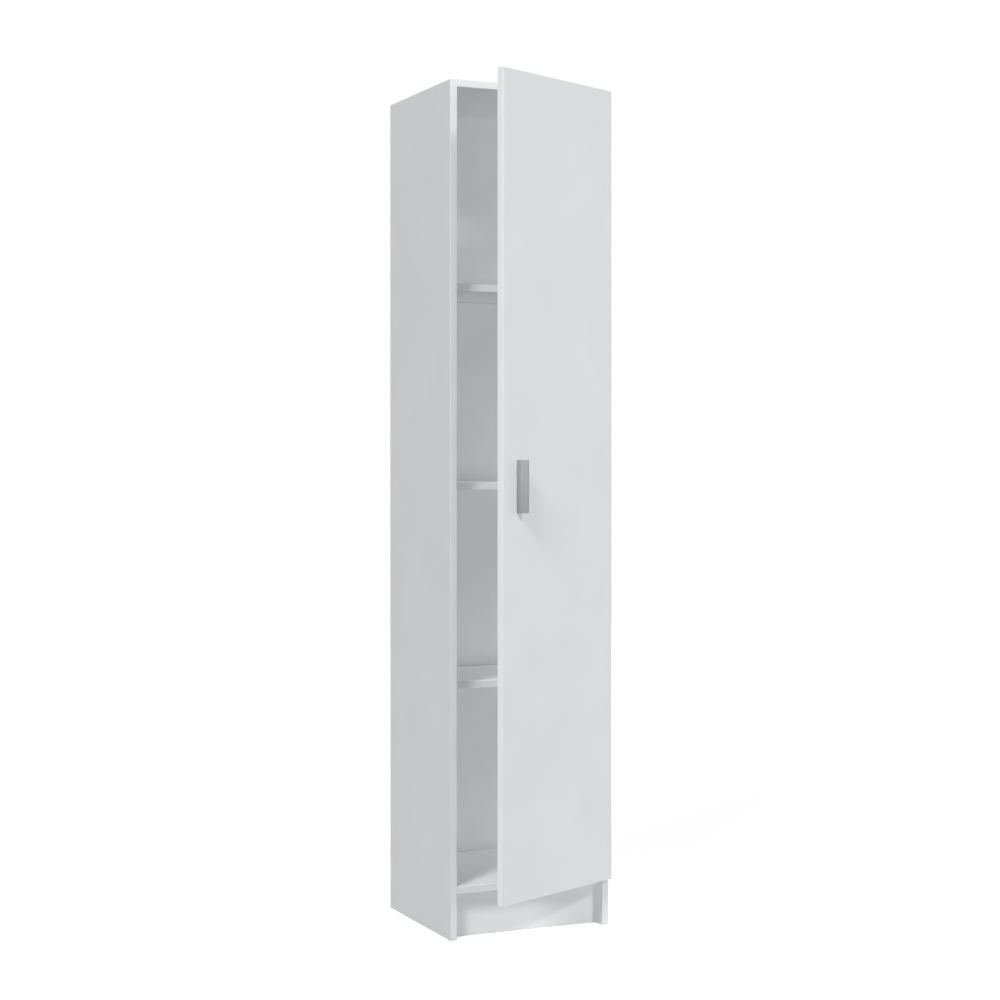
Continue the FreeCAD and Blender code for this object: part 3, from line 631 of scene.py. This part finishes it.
def crossScrew(headRadius, headHeight, shank, length):
    # Stands on the origin with its head up.
    size = screwHead
    bm = bmesh.new()
    profile = [(headRadius * size["flatShare"], headHeight)]
    for across, up in (size["shoulderShares"], size["browShares"]):
        profile.append((headRadius * across, headHeight * up))
    profile += [(headRadius, headHeight * size["rimShare"]), (headRadius, 0), (shank, 0)]
    profile += [(shank, shank - length), (0, -length)]
    spinProfile(bm, profile, size["steps"])
    ring = [edge for edge in bm.edges if edge.is_boundary]
    # A square with an arm drawn out of each side makes the driver's cross, sunk into the head.
    arm = headRadius * size["armShare"]
    reach = headRadius * size["reachShare"] - arm
    square = bmesh.ops.create_grid(bm, x_segments=1, y_segments=1, size=arm)["verts"]
    bmesh.ops.translate(bm, verts=square, vec=(0, 0, headHeight))
    cross = [square[0].link_faces[0]]
    for edge in list(cross[0].edges):
        outward = (edge.verts[0].co + edge.verts[1].co) / 2 - Vector((0, 0, headHeight))
        made = bmesh.ops.extrude_edge_only(bm, edges=[edge])["geom"]
        bmesh.ops.translate(bm, verts=vertsOf(made), vec=outward.normalized() * reach)
        cross += [item for item in made if isinstance(item, bmesh.types.BMFace)]
    outline = [edge for face in cross for edge in face.edges if edge.is_boundary]
    bmesh.ops.bridge_loops(bm, edges=ring + outline)
    bmesh.ops.recalc_face_normals(bm, faces=bm.faces)
    bmesh.ops.inset_region(bm, faces=cross, thickness=headRadius * size["taperShare"],
                           depth=-headHeight * size["depthShare"], use_even_offset=True)
    shadeSmooth(bm, size["smooth"])
    return bm


def makeScrews(node, size):
    turn = shutDoor if nodeBody[node] == "door" else Matrix()
    toward = Vector(size["toward"])
    boxes = solidBoxes(node, turn)
    low, high = boxes[0]
    axis = max(range(3), key=lambda i: abs(toward[i]))
    headRadius = (high - low)[(axis + 1) % 3] / 2
    headHeight = size["headHeight"] * mm
    length = (high - low)[axis] - headHeight
    screw = crossScrew(headRadius, headHeight, size["shank"] * mm, length)
    places = []
    for low, high in boxes:
        seat = (low + high) / 2
        seat += toward * ((high - low)[axis] / 2 - headHeight)
        places.append(standing(seat, toward))
    bm = scatter(screw, places)
    if nodeBody[node] == "door":
        bm.transform(openDoor)
    newPiece(camelName(node), bm, [zincPlate], node)


for node, size in screws.items():
    makeScrews(node, size)
print("screws made:", len(screws), "sets")


# Nails of the back, with a slightly crowned head level with the sheet

nail = {"headThickness": 0.8, "shank": 0.8, "crown": 0.15, "crownShares": (0.6, 0.33), "pointShare": 2,
        "steps": 16, "smooth": 40}


def makeNails(size):
    boxes = solidBoxes("back_nails")
    low, high = boxes[0]
    radius = (high.x - low.x) / 2
    length = high.y - low.y
    head = size["headThickness"] * mm
    crown = size["crown"] * mm
    shank = size["shank"] * mm
    bm = bmesh.new()
    across, down = size["crownShares"]
    profile = [(0, 0), (radius * across, -crown * down), (radius, -crown), (radius, -head), (shank, -head)]
    profile += [(shank, size["pointShare"] * shank - length), (0, -length)]
    spinProfile(bm, profile, size["steps"])
    shadeSmooth(bm, size["smooth"])
    places = [standing(Vector(((a.x + b.x) / 2, b.y, (a.z + b.z) / 2)), (0, 1, 0)) for a, b in boxes]
    newPiece("backNails", scatter(bm, places), [brightSteel], "back_nails")


makeNails(nail)


# Cam caps: thin discs with a rolled rim and a small dimple for a fingernail

cap = {"rim": 0.4, "rimSegments": 3, "dimpleShare": 0.55, "slopeShare": 0.12, "dimple": 0.25, "steps": 32,
       "smooth": 50}


def makeCaps(size):
    boxes = solidBoxes("cam_caps")
    low, high = boxes[0]
    radius = (high.x - low.x) / 2
    thickness = high.z - low.z
    bm = bmesh.new()
    bmesh.ops.create_cone(bm, cap_ends=True, segments=size["steps"], radius1=radius, radius2=radius,
                          depth=thickness)
    bmesh.ops.translate(bm, verts=bm.verts, vec=(0, 0, thickness / 2))
    roundOver(bm, list(faceToward(bm, (0, 0, 1)).edges), size["rim"] * mm, size["rimSegments"])
    top = faceToward(bm, (0, 0, 1))
    flat = radius * (1 - size["dimpleShare"]) - size["rim"] * mm
    bmesh.ops.inset_individual(bm, faces=[top], thickness=flat)
    bmesh.ops.inset_individual(bm, faces=[top], thickness=radius * size["slopeShare"],
                               depth=-size["dimple"] * mm)
    shadeSmooth(bm, size["smooth"])
    places = [standing(Vector(((a.x + b.x) / 2, (a.y + b.y) / 2, b.z)), (0, 0, -1)) for a, b in boxes]
    newPiece("camCaps", scatter(bm, places), [whitePlastic], "cam_caps")


makeCaps(cap)


# Bumpers: soft clear domes inside the door's free edge

bumper = {"domeShare": 0.75, "steps": 28, "rings": 12, "smooth": 50}


def makeBumpers(size):
    boxes = solidBoxes("door_bumpers", shutDoor)
    low, high = boxes[0]
    radius = (high.x - low.x) / 2
    height = high.y - low.y
    dome = height * size["domeShare"]
    bm = bmesh.new()
    bmesh.ops.create_uvsphere(bm, u_segments=size["steps"], v_segments=size["rings"], radius=radius)
    bmesh.ops.bisect_plane(bm, geom=bm.verts[:] + bm.edges[:] + bm.faces[:], dist=weld, plane_co=(0, 0, 0),
                           plane_no=(0, 0, 1), clear_inner=True)
    bmesh.ops.scale(bm, verts=bm.verts, vec=(1, 1, dome / radius))
    bmesh.ops.translate(bm, verts=bm.verts, vec=(0, 0, height - dome))
    skirt = bmesh.ops.extrude_edge_only(bm, edges=[edge for edge in bm.edges if edge.is_boundary])["geom"]
    bmesh.ops.translate(bm, verts=vertsOf(skirt), vec=(0, 0, dome - height))
    bmesh.ops.edgeloop_fill(bm, edges=[edge for edge in bm.edges if edge.is_boundary])
    bmesh.ops.recalc_face_normals(bm, faces=bm.faces)
    shadeSmooth(bm, size["smooth"])
    places = [standing(Vector(((a.x + b.x) / 2, a.y, (a.z + b.z) / 2)), (0, 1, 0)) for a, b in boxes]
    bm = scatter(bm, places)
    bm.transform(openDoor)
    newPiece("doorBumpers", bm, [softPad], "door_bumpers")


makeBumpers(bumper)


# Shelf supports: the frame's pins and rests, thinned to a wedge toward the room

support = {"tipHeight": 2.6, "ease": 0.4, "easeSegments": 2, "leastLength": 4, "leastTurn": 60}


def makeSupports(size):
    bm = mergedCopy("shelf_supports")
    for low, high in solidBoxes("shelf_supports"):
        inner = low.x if high.x > 0 else high.x
        tip = [vert for vert in bm.verts if abs(vert.co.x - inner) < weld and abs(vert.co.z - low.z) < weld
               and low.y - weld < vert.co.y < high.y + weld]
        bmesh.ops.translate(bm, verts=tip, vec=(0, 0, high.z - low.z - size["tipHeight"] * mm))
    edges = [edge for edge in bm.edges if edge.calc_face_angle() > math.radians(size["leastTurn"])
             and edge.calc_length() > size["leastLength"] * mm]
    roundOver(bm, edges, size["ease"] * mm, size["easeSegments"])
    newPiece("shelfSupports", bm, [whitePlastic], "shelf_supports")


makeSupports(support)
print("small fittings made")


# Fittings whose own solids are right get a finish only

keptFinishes = {"cam_locks": castZinc, "cam_bolts": brightSteel, "wooden_dowels": beech,
                "lower_hinge_pin": brightSteel, "middle_hinge_pin": brightSteel,
                "upper_hinge_pin": brightSteel}
for node, finish in keptFinishes.items():
    frame["nodes"][node].data.materials.clear()
    frame["nodes"][node].data.materials.append(finish)


# Floor, light and camera

studio = {"floorColor": "#E9E9E9", "bounceColor": "#A0A0A0", "floorSize": 14, "floorGlow": 0.5,
          "ambient": 0.085, "ambientColor": "#FFFFFF"}


def seenDirectly(tree):
    # 1 for rays that come from the camera, a mirror or glass, and 0 for light on its way round the room.
    path = addNode(tree, "ShaderNodeLightPath")
    seen = addNode(tree, "ShaderNodeMath", {"operation": "MAXIMUM"},
                   {0: path.outputs["Is Camera Ray"], 1: path.outputs["Is Glossy Ray"]})
    return addNode(tree, "ShaderNodeMath", {"operation": "MAXIMUM"},
                   {0: seen.outputs[0], 1: path.outputs["Is Transmission Ray"]}).outputs[0]


def makeFloor():
    # Matt white paper. Seen directly it also glows a little, so that it is white where no shadow falls,
    # and it sends less light back up than such a paper would, as the picture has hardly any from below.
    material = bpy.data.materials.new("whitePaper")
    material.use_nodes = True
    tree = material.node_tree
    tree.nodes.clear()
    paper = addNode(tree, "ShaderNodeBsdfDiffuse", {"Color": hexColor(studio["floorColor"])})
    bounce = addNode(tree, "ShaderNodeBsdfDiffuse", {"Color": hexColor(studio["bounceColor"])})
    glow = addNode(tree, "ShaderNodeEmission", {"Strength": studio["floorGlow"]})
    bright = addNode(tree, "ShaderNodeAddShader", {}, {0: paper.outputs[0], 1: glow.outputs[0]})
    mix = addNode(tree, "ShaderNodeMixShader", {},
                  {0: seenDirectly(tree), 1: bounce.outputs[0], 2: bright.outputs[0]})
    addNode(tree, "ShaderNodeOutputMaterial", {}, {"Surface": mix.outputs[0]})
    bm = bmesh.new()
    bmesh.ops.create_grid(bm, x_segments=1, y_segments=1, size=studio["floorSize"] / 2)
    mesh = bpy.data.meshes.new("studioFloor")
    bm.to_mesh(mesh)
    bm.free()
    mesh.materials.append(material)
    floor = bpy.data.objects.new("studioFloor", mesh)
    scene.collection.objects.link(floor)


def makeWorld():
    world = bpy.data.worlds.new("studioWorld")
    scene.world = world
    world.use_nodes = True
    tree = world.node_tree
    tree.nodes.clear()
    soft = addNode(tree, "ShaderNodeBackground", {"Color": hexColor(studio["ambientColor"]),
                                                  "Strength": studio["ambient"]})
    white = addNode(tree, "ShaderNodeBackground", {"Color": (1, 1, 1, 1), "Strength": 1.0})
    mix = addNode(tree, "ShaderNodeMixShader", {},
                  {0: seenDirectly(tree), 1: soft.outputs[0], 2: white.outputs[0]})
    addNode(tree, "ShaderNodeOutputWorld", {}, {"Surface": mix.outputs[0]})


# Azimuth is degrees to the right of straight in front, elevation above the level, lengths in metres.
# Two fills cast no shadow, so that they reach the inside as evenly as light from a large white room.
# The level boards alone hold back the two fills that are nearly level, which darkens the shelves' corners.
lamps = {
    "keyLamp": {"azimuth": -50, "elevation": 42, "size": 6.0, "power": 3180, "blockers": "all"},
    "fillLamp": {"azimuth": 15, "elevation": 36.5, "size": 3.4, "power": 1350, "blockers": "all"},
    "rightSoftbox": {"azimuth": 16, "elevation": 8, "size": 9.0, "power": 760, "blockers": "all"},
    "sideSoftbox": {"azimuth": 82, "elevation": 12, "size": 9.0, "power": 900, "blockers": "all"},
    "rearSoftbox": {"azimuth": 163, "elevation": 25, "size": 9.0, "power": 1800, "blockers": "all"},
    "leftFill": {"azimuth": -75, "elevation": -2, "size": 4.5, "power": 850, "blockers": "levelBoards"},
    "frontFill": {"azimuth": 0, "elevation": -3.5, "size": 4.5, "power": 410, "blockers": "levelBoards"},
    "upperFill": {"azimuth": 0, "elevation": 80, "size": 3.0, "power": 1010, "blockers": "none"},
    "lowerFill": {"azimuth": 0, "elevation": -60, "size": 3.0, "power": 570, "blockers": "none"},
}
lampDistance = 24
levelBoards = ("topPanel", "bottomPanel", "lowerShelf", "middleShelf", "upperShelf", "shelfEdgeBands",
               "railEdgeBands")
aim = Vector((0, 0, (cadBox[0].z + cadBox[1].z) / 2))


def makeLamp(name, lamp):
    azimuth = math.radians(lamp["azimuth"])
    elevation = math.radians(lamp["elevation"])
    direction = Vector((math.sin(azimuth) * math.cos(elevation), -math.cos(azimuth) * math.cos(elevation),
                        math.sin(elevation)))
    light = bpy.data.lights.new(name, "AREA")
    light.shape = "DISK"
    light.size = lamp["size"]
    light.energy = lamp["power"]
    light.use_shadow = lamp["blockers"] != "none"
    holder = bpy.data.objects.new(name, light)
    if lamp["blockers"] == "levelBoards":
        blockers = bpy.data.collections.new(name + "Blockers")
        for board in levelBoards:
            blockers.objects.link(bpy.data.objects[board])
        holder.light_linking.blocker_collection = blockers
    holder.location = aim + direction * lampDistance
    holder.rotation_euler = direction.to_track_quat("Z", "Y").to_euler()
    scene.collection.objects.link(holder)


# Fitted to the picture's edges: a long lens held level, to the left of the cupboard and turned toward it.
# Place, lens and sensor are in millimetres, yaw is in degrees.
view = {"place": (-1819.4, -4064.0, 1002.2), "yaw": 24.2013, "lens": 72.754, "sensor": 36,
        "shiftY": -0.0391}


def makeCamera():
    yaw = math.radians(view["yaw"])
    forward = Vector((math.sin(yaw), math.cos(yaw), 0))
    camera = bpy.data.cameras.new("camera")
    camera.lens = view["lens"]
    camera.sensor_width = view["sensor"]
    camera.shift_y = view["shiftY"]
    holder = bpy.data.objects.new("camera", camera)
    holder.location = Vector(view["place"]) * mm
    holder.rotation_euler = forward.to_track_quat("-Z", "Y").to_euler()
    scene.collection.objects.link(holder)
    scene.camera = holder


makeFloor()
makeWorld()
for name, lamp in lamps.items():
    makeLamp(name, lamp)
makeCamera()
scene.view_settings.view_transform = "Standard"
print("studio made")
